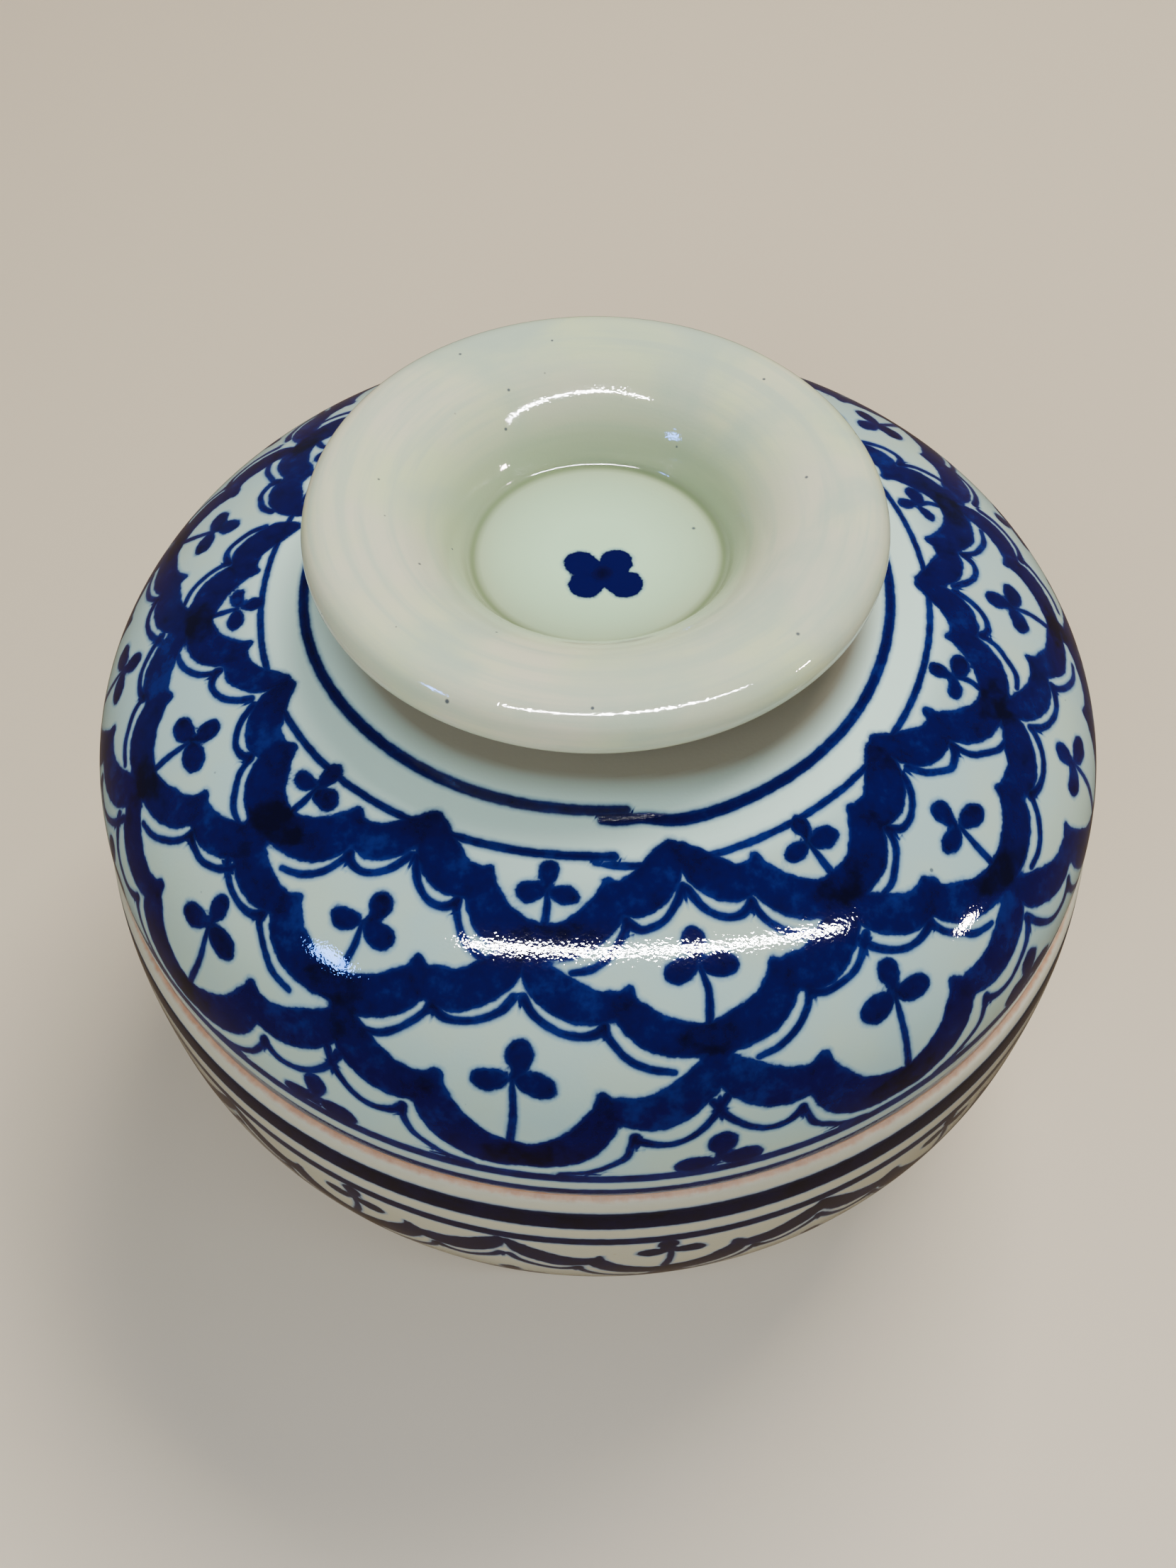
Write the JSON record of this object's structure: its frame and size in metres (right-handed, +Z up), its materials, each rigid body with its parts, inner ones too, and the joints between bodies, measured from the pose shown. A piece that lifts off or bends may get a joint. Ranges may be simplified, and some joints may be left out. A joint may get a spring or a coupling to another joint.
{
  "type": "covered rice bowl",
  "caption": "Squat round glazed bowl on a foot ring, with a loose domed lid located by an inner flange and lifted by a wide trumpet-shaped ring knob.",
  "frame": {"origin": "centre of the foot ring's underside, on the surface that the bowl stands on", "axes": "+Z up along the turned axis; -Y is the side that faces the viewer; the shape is the same all round"},
  "size_m": [0.229, 0.229, 0.178],
  "materials": {
    "painted_glaze": "gloss",
    "celadon_glaze": "gloss",
    "bare_clay": "matte"
  },
  "bodies": {
    "bowl": {"bowl_body": "painted_glaze", "bowl_foot_ring": "bare_clay"},
    "lid": {"lid_dome": "painted_glaze", "lid_flange": "bare_clay", "lid_knob": "celadon_glaze"}
  },
  "joints": [
    {"name": "lid_lift", "type": "slide", "parent": "bowl", "child": "lid", "axis": [0, 0, 1], "range_m": [0, 0.15]}
  ]
}
